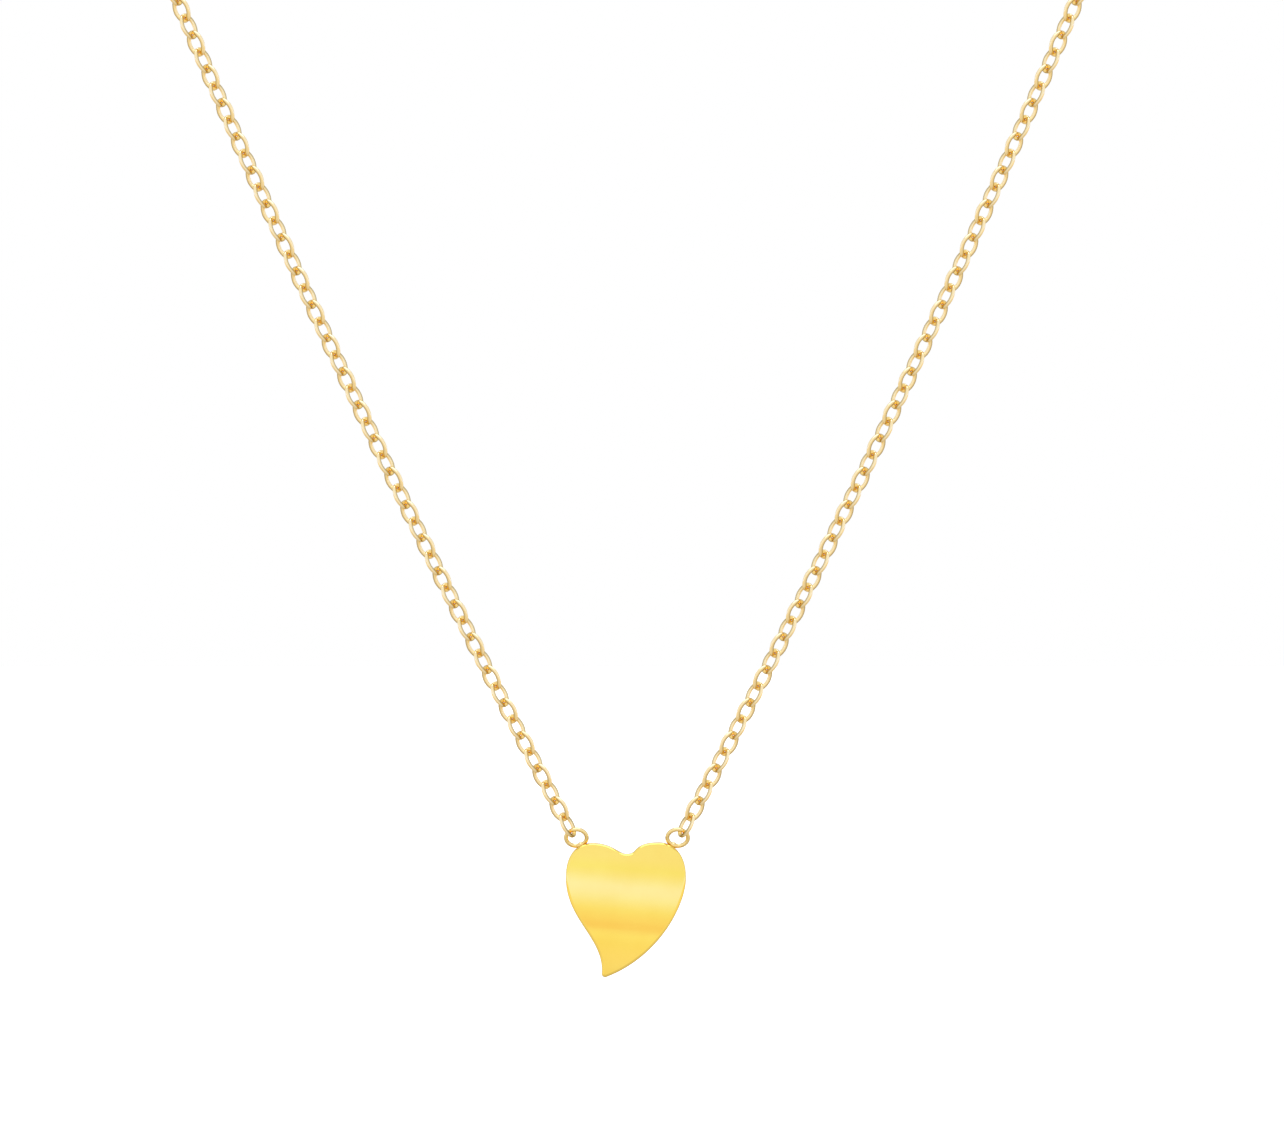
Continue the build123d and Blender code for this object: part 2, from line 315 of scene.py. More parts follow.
def gold(name, face, rim, roughness, scratch, dent, grain, reach, shade_edged=False):
    """Polished gold alloy. Its tone drifts slowly. Painted shade darkens it to the rim tone where it
    turns away from the view, and painted shade and painted reflection turn it to deeper tones where
    pieces meet within reach. The rim tone also tints its reflections. The polish leaves hair-fine
    lines. Grain is the size of its soft dents. Wire with shade_edged set takes the rim tone as painted
    shade along the edge that its mesh marks instead. Dent, grain and reach are in millimetres."""
    material, nodes, links, shader = node_material(name)
    places = nodes.new("ShaderNodeTexCoord").outputs["Object"]
    shader.inputs["Metallic"].default_value = 1.0
    shader.inputs["Specular Tint"].default_value = (*rim, 1)

    drift = add_noise(nodes, links, places, 1 / (2.6 * grain * MM), 3, 0.5)
    drift_share = add_range(nodes, links, drift.outputs["Fac"], 0.35, 0.65, 0, 1)
    faded = tuple(c * t for c, t in zip(face, (0.985, 0.955, 0.88)))
    colour = add_mix(nodes, links, drift_share, face, faded)
    if shade_edged:
        # Painted shade: the mesh's edge attribute marks the strip of each link's wire that is darkened to
        # the rim tone.
        edge_shade_mark = nodes.new("ShaderNodeAttribute")
        edge_shade_mark.attribute_name = "edge"
        rim_shade_share = edge_shade_mark.outputs["Fac"]
    else:
        # Painted shade: the colour darkens to the rim tone as the surface turns away from the view.
        turned = nodes.new("ShaderNodeLayerWeight")
        turned.inputs["Blend"].default_value = 0.5
        rim_shade_share = add_range(nodes, links, turned.outputs["Facing"], 0.3, 0.75, 0, 1)
    colour = add_mix(nodes, links, rim_shade_share, colour, rim)
    # Painted shade and painted reflection: where ambient occlusion finds other pieces close by, the colour
    # turns orange, then deep brown.
    painted_shade_ao = nodes.new("ShaderNodeAmbientOcclusion")
    painted_shade_ao.samples = 12
    painted_shade_ao.inputs["Distance"].default_value = reach * MM
    open_share = painted_shade_ao.outputs["AO"]
    for start, end, tone in ((0.93, 0.6, CONTACT_SHADE_REFLECTION_TONE), (0.36, 0.10, DEEP_PAINTED_SHADE_TONE)):
        share = add_range(nodes, links, open_share, start, end, 0, 1)
        colour = add_mix(nodes, links, share, colour, tone)
    links.new(colour, shader.inputs["Base Color"])

    stretch = nodes.new("ShaderNodeMapping")
    stretch.inputs["Scale"].default_value = (1.0, 1.0, 14.0)
    stretch.inputs["Rotation"].default_value = (0.3, 0.5, 0.2)
    links.new(places, stretch.inputs["Vector"])
    hairs = add_noise(nodes, links, stretch.outputs["Vector"], 1 / (1.2 * MM), 4, 0.65)
    cloud = add_noise(nodes, links, places, 1 / (0.8 * grain * MM), 4, 0.6)
    rough = nodes.new("ShaderNodeMath")
    rough.operation = "ADD"
    links.new(
        add_range(nodes, links, cloud.outputs["Fac"], 0.3, 0.7, roughness * 0.8, roughness * 1.25),
        rough.inputs[0],
    )
    links.new(add_range(nodes, links, hairs.outputs["Fac"], 0.5, 0.8, 0, scratch), rough.inputs[1])
    links.new(rough.outputs["Value"], shader.inputs["Roughness"])

    dents = nodes.new("ShaderNodeBump")
    dents.inputs["Strength"].default_value = 1.0
    dents.inputs["Distance"].default_value = dent * MM
    waves = add_noise(nodes, links, places, 1 / (grain * MM), 2, 0.4)
    links.new(waves.outputs["Fac"], dents.inputs["Height"])
    lines = nodes.new("ShaderNodeBump")
    lines.inputs["Strength"].default_value = 1.0
    lines.inputs["Distance"].default_value = 0.0004 * MM
    links.new(hairs.outputs["Fac"], lines.inputs["Height"])
    links.new(dents.outputs["Normal"], lines.inputs["Normal"])
    links.new(lines.outputs["Normal"], shader.inputs["Normal"])
    return material


def steel_wire(name):
    """Drawn spring wire: grey, with a fine mottled tone and roughness."""
    material, nodes, links, shader = node_material(name)
    places = nodes.new("ShaderNodeTexCoord").outputs["Object"]
    shader.inputs["Metallic"].default_value = 1.0
    drawn = add_noise(nodes, links, places, 1 / (0.05 * MM), 5, 0.6)
    tone = nodes.new("ShaderNodeValToRGB")
    tone.color_ramp.elements[0].color = (0.36, 0.36, 0.37, 1)
    tone.color_ramp.elements[1].color = (0.66, 0.66, 0.67, 1)
    links.new(drawn.outputs["Fac"], tone.inputs["Fac"])
    links.new(tone.outputs["Color"], shader.inputs["Base Color"])
    links.new(
        add_range(nodes, links, drawn.outputs["Fac"], 0.3, 0.7, 0.22, 0.4), shader.inputs["Roughness"]
    )
    return material


# The rim tone tints the gold's reflections and is also the colour of its painted shade along rims and
# turned-away sides.
RIM_TINT_AND_SHADE_TONE = (0.50, 0.40, 0.20)
RING_FACE = (0.96, 0.80, 0.42)
heart_gold = gold("heart_gold", (1.0, 0.80, 0.205), (0.62, 0.47, 0.20), 0.045, 0.05, 0.0006, 1.1, 0.12)
chain_gold = gold("chain_gold", (1.0, 0.86, 0.56), RIM_TINT_AND_SHADE_TONE, 0.11, 0.06, 0.0010, 0.16, 0.45, shade_edged=True)
ring_gold = gold("ring_gold", RING_FACE, RIM_TINT_AND_SHADE_TONE, 0.09, 0.05, 0.0010, 0.2, 0.45)
clasp_gold = gold("clasp_gold", RING_FACE, RIM_TINT_AND_SHADE_TONE, 0.09, 0.06, 0.0010, 0.35, 0.25)
spring_steel = steel_wire("spring_steel")


# ---------------------------------------------------------------- chain links


def link_mesh():
    """One oval link lying in its own X-Y plane, long axis X, with its soldered seam: its
    points and faces, each point's offset from the wire's centre, and the further offset
    that closes up a hooked end."""
    end_centre = LINK_HALF_LENGTH - LINK_END_RADIUS
    side_radius = (LINK_HALF_WIDTH**2 + end_centre**2 - LINK_END_RADIUS**2) / (
        2 * (LINK_HALF_WIDTH - LINK_END_RADIUS)
    )
    side_centre = side_radius - LINK_HALF_WIDTH
    side_half_arc = math.atan2(end_centre, side_centre)
    end_half_arc = math.pi / 2 - side_half_arc
    seam = np.array(SEAM_POINTS) / side_radius
    arcs = []
    for way in (1, -1):
        turned = 0 if way > 0 else math.pi
        ends = turned + np.linspace(-end_half_arc, end_half_arc, 19)[:-1]
        arcs += [(way * end_centre, 0.0, LINK_END_RADIUS, a, 0.0) for a in ends]
        spread = np.linspace(-side_half_arc, side_half_arc, 9)[:-1]
        if way > 0:
            clear = np.abs(spread) > SEAM_CLEARANCE / side_radius
            spread = np.sort(np.concatenate([spread[clear], seam]))
        for a in spread:
            near = abs(a) * side_radius
            swell = 0.05 * math.exp(-((near / 0.05) ** 2)) - 0.09 * math.exp(-((near / 0.008) ** 2))
            if way < 0:
                swell = 0.0
            arcs.append((0.0, -way * side_centre, side_radius, turned + math.pi / 2 + a, swell))
    arcs = np.array(arcs)
    out = np.stack([np.cos(arcs[:, 3]), np.sin(arcs[:, 3]), np.zeros(len(arcs))], 1)
    centres = np.stack([arcs[:, 0], arcs[:, 1], np.zeros(len(arcs))], 1) + out * arcs[:, 2:3]
    section = rounded_section(CHAIN_WIRE, CHAIN_WIRE_THICKNESS, CHAIN_WIRE_CORNER, 3)
    up = np.array([0.0, 0.0, -1.0])
    wire = section[None, :, :1] * out[:, None, :] + section[None, :, 1:] * up
    wire = wire * (1 + arcs[:, 4])[:, None, None]
    points = (centres[:, None, :] + wire).reshape(-1, 3)
    wire = wire.reshape(-1, 3)
    end_share = (np.abs(points[:, :1]) / LINK_HALF_LENGTH - END_START) / (1 - END_START)
    closer = np.clip(end_share, 0, 1) * END_SWELL * wire
    return points, grid_faces(len(centres), len(section), True, True), wire, closer


def islands(cad):
    """Triangles of each separate solid in a CAD mesh, in millimetres."""
    mesh = cad.data
    points = np.zeros(len(mesh.vertices) * 3)
    mesh.vertices.foreach_get("co", points)
    points = points.reshape(-1, 3) / MM
    mesh.calc_loop_triangles()
    triangles = np.zeros(len(mesh.loop_triangles) * 3, int)
    mesh.loop_triangles.foreach_get("vertices", triangles)
    triangles = triangles.reshape(-1, 3)
    welded = np.unique(np.round(points, 4), axis=0, return_inverse=True)[1].reshape(-1)
    corners = welded[triangles]
    group = np.arange(welded.max() + 1)
    while True:
        lowest = group[corners].min(1)
        spread = group.copy()
        for column in range(3):
            np.minimum.at(spread, corners[:, column], lowest)
        spread = spread[spread]
        if np.array_equal(spread, group):
            break
        group = spread
    owner = group[corners[:, 0]]
    return [points[triangles[owner == g]] for g in np.unique(owner)]


def link_place(solid):
    """Centre, long axis and flat normal of one link, from the moments of its surface."""
    middles = solid.mean(1)
    areas = np.linalg.norm(np.cross(solid[:, 1] - solid[:, 0], solid[:, 2] - solid[:, 0]), axis=1) / 2
    centre = (middles * areas[:, None]).sum(0) / areas.sum()
    spread = middles - centre
    axes = np.linalg.eigh((spread * areas[:, None]).T @ spread)[1]
    along, normal = axes[:, 2], axes[:, 0]
    along = along * (1 if along[2] > 0 else -1)
    normal = normal * (1 if normal[1] < 0 else -1)
    return centre, along, normal


link_points, link_faces, link_wire, link_closer = link_mesh()
for node, cad in sorted(frame["nodes"].items()):
    if "_chain_" not in node:
        continue
    spots = sorted((link_place(solid) for solid in islands(cad)), key=lambda spot: tuple(spot[0]))
    middles = np.array([centre for centre, _, _ in spots])
    points, faces, edge_shades = [], [], []
    for centre, along, normal in spots:
        # Ends that hook into a link of the same stretch close up the play between them.
        met = []
        for way in (-1, 1):
            expected = centre + way * along * LINK_PITCH
            met.append(np.linalg.norm(middles - expected, axis=1).min() < MEETING_DISTANCE)
        swollen = link_points + link_closer * np.where(link_points[:, :1] > 0, met[1], met[0])
        turned = np.stack([along, np.cross(normal, along), normal])
        base = sum(len(p) for p in points)
        points.append(swollen @ turned + centre)
        faces += [tuple(base + corner for corner in face) for face in link_faces]
        # Painted shade: one edge of each front face, on the side that the face looks to, is coloured dark.
        half_width = CHAIN_WIRE / 2 * abs(turned[1, 0]) + 0.01
        reach = (link_wire @ turned)[:, 0] * np.sign(normal[0]) / half_width
        front = np.clip(link_wire[:, 2] / (CHAIN_WIRE_THICKNESS / 2) * 1.5 + 0.5, 0, 1)
        edge_shades.append(np.clip((reach - SHADE_EDGE_START) / SHADE_EDGE_FADE, 0, 1) * front)
    chain = make_object(node + "_links", np.concatenate(points), faces, chain_gold)
    # The painted edge shade goes to the material in the edge attribute.
    edge = chain.data.attributes.new("edge", "FLOAT", "POINT")
    edge.data.foreach_set("value", np.concatenate(edge_shades))
    place(chain, cad["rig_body"], "chain_gold", node)


# ---------------------------------------------------------------- heart


def cubic(start, start_handle, end_handle, end, steps):
    """Points along a cubic curve, leaving out its last one."""
    a, d = np.array(start, float), np.array(end, float)
    b, c = a + start_handle, d - end_handle
    t = np.linspace(0, 1, steps + 1)[:-1, None]
    return (1 - t) ** 3 * a + 3 * (1 - t) ** 2 * t * b + 3 * (1 - t) * t**2 * c + t**3 * d


def circle_arc(centre, radius, start, end, steps):
    angles = np.linspace(start, end, steps + 1)[:-1]
    return np.array(centre) + radius * np.stack([np.cos(angles), np.sin(angles)], 1)


def heart_outline():
    """Outline in X and Z, clockwise as seen from in front: notch, right side, tip, left side."""
    down = np.array([0.0, -1.0])
    notch_centre = np.array([0.0, NOTCH_Z + NOTCH_RADIUS])
    tip_slopes = (
        -np.array([math.cos(TIP_END_LEAN), math.sin(TIP_END_LEAN)]),
        -np.array([math.sin(TIP_START_LEAN), math.cos(TIP_START_LEAN)]),
    )
    tip_start, tip_end = math.pi - TIP_START_LEAN, 1.5 * math.pi + TIP_END_LEAN
    sides = []
    for way, lobe, side, handles, tip_slope, tip_turn in (
        (1, RIGHT_LOBE, RIGHT_SIDE, RIGHT_HANDLES, tip_slopes[0], tip_end),
        (-1, LEFT_LOBE, LEFT_SIDE, LEFT_HANDLES, tip_slopes[1], tip_start),
    ):
        level = np.array([way, 0.0])
        slope = np.array([way * math.cos(NOTCH_HALF_ANGLE), math.sin(NOTCH_HALF_ANGLE)])
        notch_end = notch_centre + NOTCH_RADIUS * np.array(
            [way * math.sin(NOTCH_HALF_ANGLE), -math.cos(NOTCH_HALF_ANGLE)]
        )
        tip = TIP_CENTRE + TIP_RADIUS * np.array([math.cos(tip_turn), math.sin(tip_turn)])
        a, b, c, d, e, f = handles
        sides.append(
            [
                cubic(notch_end, slope * a, level * b, lobe, 60),
                cubic(lobe, level * c, down * d, side, 90),
                cubic(side, down * e, tip_slope * f, tip, 220),
                [tip],
            ]
        )
    low = 1.5 * math.pi
    return np.concatenate(
        [
            circle_arc(notch_centre, NOTCH_RADIUS, low - NOTCH_HALF_ANGLE, low + NOTCH_HALF_ANGLE, 20),
            *sides[0][:-1],
            circle_arc(TIP_CENTRE, TIP_RADIUS, tip_end, tip_start, 26),
            np.concatenate(sides[1])[::-1][:-1],
        ]
    )


def crown_run(x, z):
    """Distance from the crown's ridge line, which falls to the right."""
    return x * math.sin(CROWN_LEAN) + (z - CROWN_Z) * math.cos(CROWN_LEAN)


def front_depth(x, z):
    """Distance of the crowned front from the flat back."""
    return np.sqrt(CROWN_RADIUS**2 - crown_run(x, z) ** 2) - (CROWN_RADIUS - HEART_THICKNESS)


def crown_normal(x, z):
    lean = crown_run(x, z) / CROWN_RADIUS
    along_x, along_z = math.sin(CROWN_LEAN), math.cos(CROWN_LEAN)
    return np.stack([lean * along_x, -np.sqrt(1 - lean**2), lean * along_z], -1)


def heart_mesh():
    outline = heart_outline()
    count = len(outline)
    tangent = np.roll(outline, -1, 0) - np.roll(outline, 1, 0)
    tangent /= np.linalg.norm(tangent, axis=1)[:, None]
    inward = np.stack([tangent[:, 1], -tangent[:, 0]], 1)
    middle = outline.mean(0)
    if ((middle - outline) * inward).sum() < 0:
        inward = -inward
    wall = np.stack([-inward[:, 0], np.zeros(count), -inward[:, 1]], 1)
    backwards = np.array([0.0, 1.0, 0.0])

    points, normals, rings = [], [], 0
    for turn in np.linspace(math.pi / 2, 0, 9):
        inset = BACK_EDGE_RADIUS * (1 - math.cos(turn))
        spot = outline + inward * inset
        depth = BACK_EDGE_RADIUS * (1 - math.sin(turn))
        points.append(np.stack([spot[:, 0], np.full(count, -depth), spot[:, 1]], 1))
        normals.append(wall * math.cos(turn) + backwards * math.sin(turn))
        rings += 1
    for turn in np.linspace(0, math.pi / 2, 15):
        inset = FRONT_EDGE_RADIUS * (1 - math.cos(turn))
        spot = outline + inward * inset
        depth = front_depth(spot[:, 0], spot[:, 1]) - FRONT_EDGE_RADIUS * (1 - math.sin(turn))
        points.append(np.stack([spot[:, 0], -depth, spot[:, 1]], 1))
        normals.append(wall * math.cos(turn) + crown_normal(spot[:, 0], spot[:, 1]) * math.sin(turn))
        rings += 1
    points, normals = np.concatenate(points), np.concatenate(normals)
    faces = grid_faces(rings, count, False, True)

    def fill(ring, front):
        """Cover the inside of a ring of points with even triangles."""
        nonlocal points, normals
        rim = points[ring * count : (ring + 1) * count][:, [0, 2]]
        low, high = rim.min(0), rim.max(0)
        step, rim_clearance = 0.16, 0.09
        xs = np.arange(low[0] + step / 2, high[0], step)
        zs = np.arange(low[1] + step / 2, high[1], step * 0.87)
        inner = np.array([(x + (row % 2) * step / 2, z) for row, z in enumerate(zs) for x in xs])
        gap = np.linalg.norm(inner[:, None, :] - rim[None, ::2, :], axis=2).min(1)
        inner = inner[gap > rim_clearance]
        given = [Vector(p) for p in np.concatenate([rim, inner])]
        edge = [tuple(range(count))]
        found, _, triangles, origins, _, _ = delaunay_2d_cdt(given, [], edge, 1, 1e-7)
        base = len(points)
        spots = np.array([tuple(p) for p in found])
        number, used = {}, []
        for index, origin in enumerate(origins):
            on_rim = [o for o in origin if o < count]
            if on_rim:
                number[index] = ring * count + on_rim[0]
            else:
                number[index] = base + len(used)
                used.append(index)
        x, z = spots[used].T
        depth = front_depth(x, z) if front else np.zeros(len(z))
        facing = crown_normal(x, z) if front else np.broadcast_to(backwards, (len(z), 3))
        points = np.concatenate([points, np.stack([x, -depth, z], 1)])
        normals = np.concatenate([normals, facing])
        made = []
        for triangle in triangles:
            a, b, c = (number[i] for i in triangle)
            turn = np.cross(points[b] - points[a], points[c] - points[a])[1]
            made.append((a, b, c) if (turn < 0) == front else (a, c, b))
        return made

    back_faces = fill(0, False)
    front_faces = fill(rings - 1, True)
    quad = faces[0]
    facing = np.cross(points[quad[1]] - points[quad[0]], points[quad[2]] - points[quad[0]])
    if facing @ normals[quad[0]] < 0:
        faces = [face[::-1] for face in faces]
    return points, faces + back_faces + front_faces, normals


heart_points, heart_faces, heart_normals = heart_mesh()
heart_low, heart_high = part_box("heart_plate")
cad_middle = (np.array(heart_low) + np.array(heart_high)) / 2 / MM
heart_points = heart_points + cad_middle - (heart_points.min(0) + heart_points.max(0)) / 2
heart = make_object(
    "heart_plate_polished", heart_points, heart_faces, heart_gold, normals=heart_normals
)
place(heart, "pendant", "heart_gold", "heart_plate")


# ---------------------------------------------------------------- heart rings

ring_normal = np.array([0.0, -math.cos(HEART_RING_TILT), -math.sin(HEART_RING_TILT)])
hang = joint_places["pendant_swing"]
for side, sign in SIDES.items():
    hinge = hang * (-sign, 1, 1)
    chain_way = unit(np.array([sign, 0.0, CATENARY_SLOPE]))
    pull = unit(chain_way - ring_normal * (chain_way @ ring_normal))
    centre = hinge + chain_way * (HEART_RING_WIRE + HEART_RING_GAP) / 2 - pull * HEART_RING_RADIUS
    across = np.array([1.0, 0.0, 0.0])
    start = -math.pi / 2 - sign * SOLDER_ANGLE
    angles = start + np.linspace(0, 2 * math.pi, 121)[:-1]
    away = np.abs((angles - start + math.pi) % (2 * math.pi) - math.pi) * HEART_RING_RADIUS
    bead = (SOLDER_RADIUS - HEART_RING_WIRE / 2) * np.exp(-((away / SOLDER_LENGTH) ** 2))
    points, faces = arc_tube(
        centre, across, ring_normal, HEART_RING_RADIUS, angles, HEART_RING_WIRE / 2 + bead, 28, True
    )
    node = f"{side}_heart_ring"
    ring = make_object(node + "_soldered", points, faces, ring_gold)
    place(ring, "pendant", "ring_gold", node)


# ---------------------------------------------------------------- clasp

clasp_centre = joint_places["clasp_turn"]
clasp_x, clasp_axis = np.array([1.0, 0.0, 0.0]), np.array([0.0, -1.0, 0.0])
clasp_y = np.cross(clasp_axis, clasp_x)


def clasp_out(angle):
    return math.cos(math.radians(angle)) * clasp_x + math.sin(math.radians(angle)) * clasp_y


def clasp_case_mesh():
    """A bored ring with a gate, a thumb slot on its outside and a socket for the tongue's tip."""
    outer, inner = CASE_THICKNESS / 2, BORE_THICKNESS / 2
    slot_low, slot_high = NUB_ANGLE - SLOT_PLAY, NUB_ANGLE + LATCH_TRAVEL + SLOT_PLAY
    theta = np.unique(
        np.concatenate(
            [
                np.arange(GATE_END, SPRING_STOP, 2.0),
                [slot_low, slot_high, SPRING_STOP],
                np.arange(SPRING_STOP, SOCKET_START + 360, 3.0),
                np.linspace(SOCKET_START + 360, GATE_START + 360, 5),
            ]
        )
    )
    in_slot, around = 6, 34
    columns = in_slot + around

    def section(radius):
        half = math.asin(SLOT_WIDTH / 2 / radius)
        inside = np.linspace(-half, half, in_slot + 1)[:-1]
        outside = np.linspace(half, 2 * math.pi - half, around + 1)[:-1]
        return np.concatenate([inside, outside])

    def sheet(radius):
        psi = section(radius)
        rows = []
        for t in theta:
            out = clasp_out(t)
            rows.append(
                clasp_centre
                + out * CLASP_RADIUS
                + (np.cos(psi)[:, None] * out + np.sin(psi)[:, None] * clasp_axis) * radius
            )
        return np.concatenate(rows)

    points = np.concatenate([sheet(outer), sheet(inner)])
    half = len(theta) * columns
    faces = []
    stop = int(np.flatnonzero(theta == SPRING_STOP)[0])
    socket = int(np.flatnonzero(np.isclose(theta, SOCKET_START + 360))[0])
    last = len(theta) - 1
    row_low = int(np.flatnonzero(theta == slot_low)[0])
    row_high = int(np.flatnonzero(theta == slot_high)[0])

    def corner(sheet_index, row, column):
        return sheet_index * half + row * columns + column % columns

    def open_cell(row, column):
        return row_low <= row < row_high and column < in_slot

    def add_wall(start, end, flip):
        """One face between the outer and the inner sheet."""
        wall = (corner(0, *start), corner(0, *end), corner(1, *end), corner(1, *start))
        faces.append(wall[::-1] if flip else wall)

    for row in range(last):
        for column in range(columns):
            cell = [(row, column), (row, column + 1), (row + 1, column + 1), (row + 1, column)]
            if not open_cell(row, column):
                faces.append(tuple(corner(0, r, c) for r, c in cell))
            if (row < stop or row >= socket) and not open_cell(row, column):
                faces.append(tuple(corner(1, r, c) for r, c in cell)[::-1])
    for column in range(columns):
        add_wall((0, column), (0, column + 1), True)
        add_wall((last, column), (last, column + 1), False)
    faces.append(tuple(corner(1, stop, column) for column in range(columns)))
    faces.append(tuple(corner(1, socket, column) for column in range(columns))[::-1])
    for row in range(row_low, row_high):
        for column, flip in ((0, False), (in_slot, True)):
            add_wall((row, column), (row + 1, column), flip)
    for column in range(in_slot):
        for row, flip in ((row_low, True), (row_high, False)):
            add_wall((row, column), (row, column + 1), flip)
    used = sorted({i for face in faces for i in face})
    number = {old: new for new, old in enumerate(used)}
    return points[used], [tuple(number[i] for i in face) for face in faces]


def recalculated(made):
    """Turn every face of a closed mesh outwards."""
    work = bmesh.new()
    work.from_mesh(made.data)
    bmesh.ops.recalc_face_normals(work, faces=work.faces)
    work.to_mesh(made.data)
    work.free()
    return made


points, faces = clasp_case_mesh()
case = recalculated(make_object("clasp_case_polished", points, faces, clasp_gold, smooth_angle=40))
place(case, "clasp", "clasp_gold", "clasp_case")

angles = np.radians(np.linspace(TONGUE_TIP, TONGUE_TAIL, 75))
lengths = (angles - angles[0]) * CLASP_RADIUS
end_steps = np.linspace(0, TONGUE_END_RADIUS, 8)[:-1]
straight = (lengths > TONGUE_END_RADIUS) & (lengths < lengths[-1] - TONGUE_END_RADIUS)
ends = np.concatenate([end_steps, lengths[straight], lengths[-1] - end_steps[::-1]])
points, faces = arc_tube(
    clasp_centre,
    clasp_x,
    clasp_axis,
    CLASP_RADIUS,
    angles[0] + ends / CLASP_RADIUS,
    rounded_ends(ends, TONGUE_THICKNESS / 2, TONGUE_END_RADIUS),
    32,
    False,
)
tongue = recalculated(make_object("latch_tongue_bar", points, faces, clasp_gold, smooth_angle=50))
place(tongue, "latch", "clasp_gold", "latch_tongue")

# Thumb nub, turned about its own radial axis: a stem with a rounded head.
stem_foot = CLASP_RADIUS
head_foot = CLASP_RADIUS + CASE_THICKNESS / 2 + CLASP_GAP
head_top = head_foot + NUB_HEIGHT
bend = np.linspace(0, math.pi / 2, 8)
profile = [(NUB_STEM / 2, stem_foot), (NUB_STEM / 2, head_foot)]
profile += [
    (NUB_HEAD / 2 - NUB_ROUNDING + NUB_ROUNDING * math.sin(b), head_foot + NUB_ROUNDING * (1 - math.cos(b)))
    for b in bend
]
profile += [
    (NUB_HEAD / 2 - NUB_ROUNDING + NUB_ROUNDING * math.cos(b), head_top - NUB_ROUNDING * (1 - math.sin(b)))
    for b in bend
]
nub_out = clasp_out(NUB_ANGLE)
nub_side = np.cross(clasp_axis, nub_out)
turns = np.arange(48) * 2 * math.pi / 48
points = np.concatenate(
    [
        clasp_centre
        + nub_out * height
        + (np.cos(turns)[:, None] * nub_side + np.sin(turns)[:, None] * clasp_axis) * radius
        for radius, height in profile
    ]
)
faces = grid_faces(len(profile), 48, False, True)
faces.append(tuple(range(48)))
faces.append(tuple((len(profile) - 1) * 48 + i for i in range(48)))
nub = recalculated(make_object("latch_nub_head", points, faces, clasp_gold, smooth_angle=40))
place(nub, "latch", "clasp_gold", "latch_nub")

# Coil spring in the bore, from the tail of the tongue to the stop.
turns = np.linspace(0, 1, 26 * SPRING_TURNS + 1)
coil_angles = TONGUE_TAIL + SPRING_END_GAP + turns * (SPRING_STOP - TONGUE_TAIL - 2 * SPRING_END_GAP)
reach = (SPRING_THICKNESS - SPRING_WIRE) / 2
coil = np.array(
    [
        clasp_centre
        + clasp_out(angle) * (CLASP_RADIUS + reach * math.cos(2 * math.pi * SPRING_TURNS * t))
        - clasp_axis * reach * math.sin(2 * math.pi * SPRING_TURNS * t)
        for t, angle in zip(turns, coil_angles)
    ]
)
run = np.gradient(coil, axis=0)
run /= np.linalg.norm(run, axis=1)[:, None]
core = np.array([clasp_centre + clasp_out(angle) * CLASP_RADIUS for angle in coil_angles])
outwards = coil - core
outwards -= run * (outwards * run).sum(1)[:, None]
outwards /= np.linalg.norm(outwards, axis=1)[:, None]
points, faces = tube(coil, outwards, np.cross(run, outwards), SPRING_WIRE / 2, 10, False)
spring = recalculated(make_object("latch_spring_coil", points, faces, spring_steel, smooth_angle=50))
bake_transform(spring)
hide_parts("latch_spring")


# ---------------------------------------------------------------- eye and rings


def wire_ring(name, centre, x_dir, z_dir, radius, wire, start, seam):
    """A ring of round wire whose two ends meet, with a fine seam where they do."""
    angles = np.linspace(0, 2 * math.pi, 141)[:-1]
    angles = np.sort(np.concatenate([angles, np.array([0.012, 0.03, 0.05, 6.233, 6.253, 6.271])]))
    away = np.minimum(angles, 2 * math.pi - angles) * radius
    swell = seam * np.exp(-((away / 0.16) ** 2)) - 0.10 * np.exp(-((away / 0.012) ** 2))
    points, faces = arc_tube(
        centre, x_dir, z_dir, radius, angles + start, wire / 2 * (1 + swell), 28, True
    )
    return make_object(name, points, faces, ring_gold)


def box_middle(node):
    low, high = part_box(node)
    return (np.array(low) + np.array(high)) / 2 / MM


up = np.array([0.0, 0.0, 1.0])
eye_centre = clasp_centre - clasp_x * (
    CLASP_RADIUS + (CASE_THICKNESS + EYE_WIRE) / 2 + EYE_RADIUS - EYE_SINK
)
angles = np.linspace(0, 2 * math.pi, 97)[:-1]
away = np.minimum(angles, 2 * math.pi - angles) * EYE_RADIUS
points, faces = arc_tube(
    eye_centre,
    clasp_x,
    clasp_axis,
    EYE_RADIUS,
    angles,
    EYE_WIRE / 2 + 0.05 * np.exp(-(((away - 0.33) / 0.12) ** 2)),
    28,
    True,
)
eye = make_object("clasp_eye_soldered", points, faces, clasp_gold)
place(eye, "clasp", "clasp_gold", "clasp_eye")

end_ring = wire_ring(
    "end_ring_soldered", box_middle("end_ring"), clasp_x, up, END_RING_RADIUS, END_RING_WIRE, 1.1, 0.06
)
place(end_ring, "right_end_ring", "ring_gold", "end_ring")

cut = math.radians(JUMP_RING_CUT)
angles = math.pi / 2 + np.linspace(0, 2 * math.pi - cut, 141)
lengths = (angles - angles[0]) * JUMP_RING_RADIUS
points, faces = arc_tube(
    box_middle("jump_ring"),
    clasp_x,
    up,
    JUMP_RING_RADIUS,
    angles,
    rounded_ends(lengths, JUMP_RING_WIRE / 2, 0.02),
    28,
    False,
)
jump_ring = recalculated(make_object("jump_ring_cut", points, faces, ring_gold, smooth_angle=50))
place(jump_ring, "left_jump_ring", "ring_gold", "jump_ring")


# ---------------------------------------------------------------- stage and light

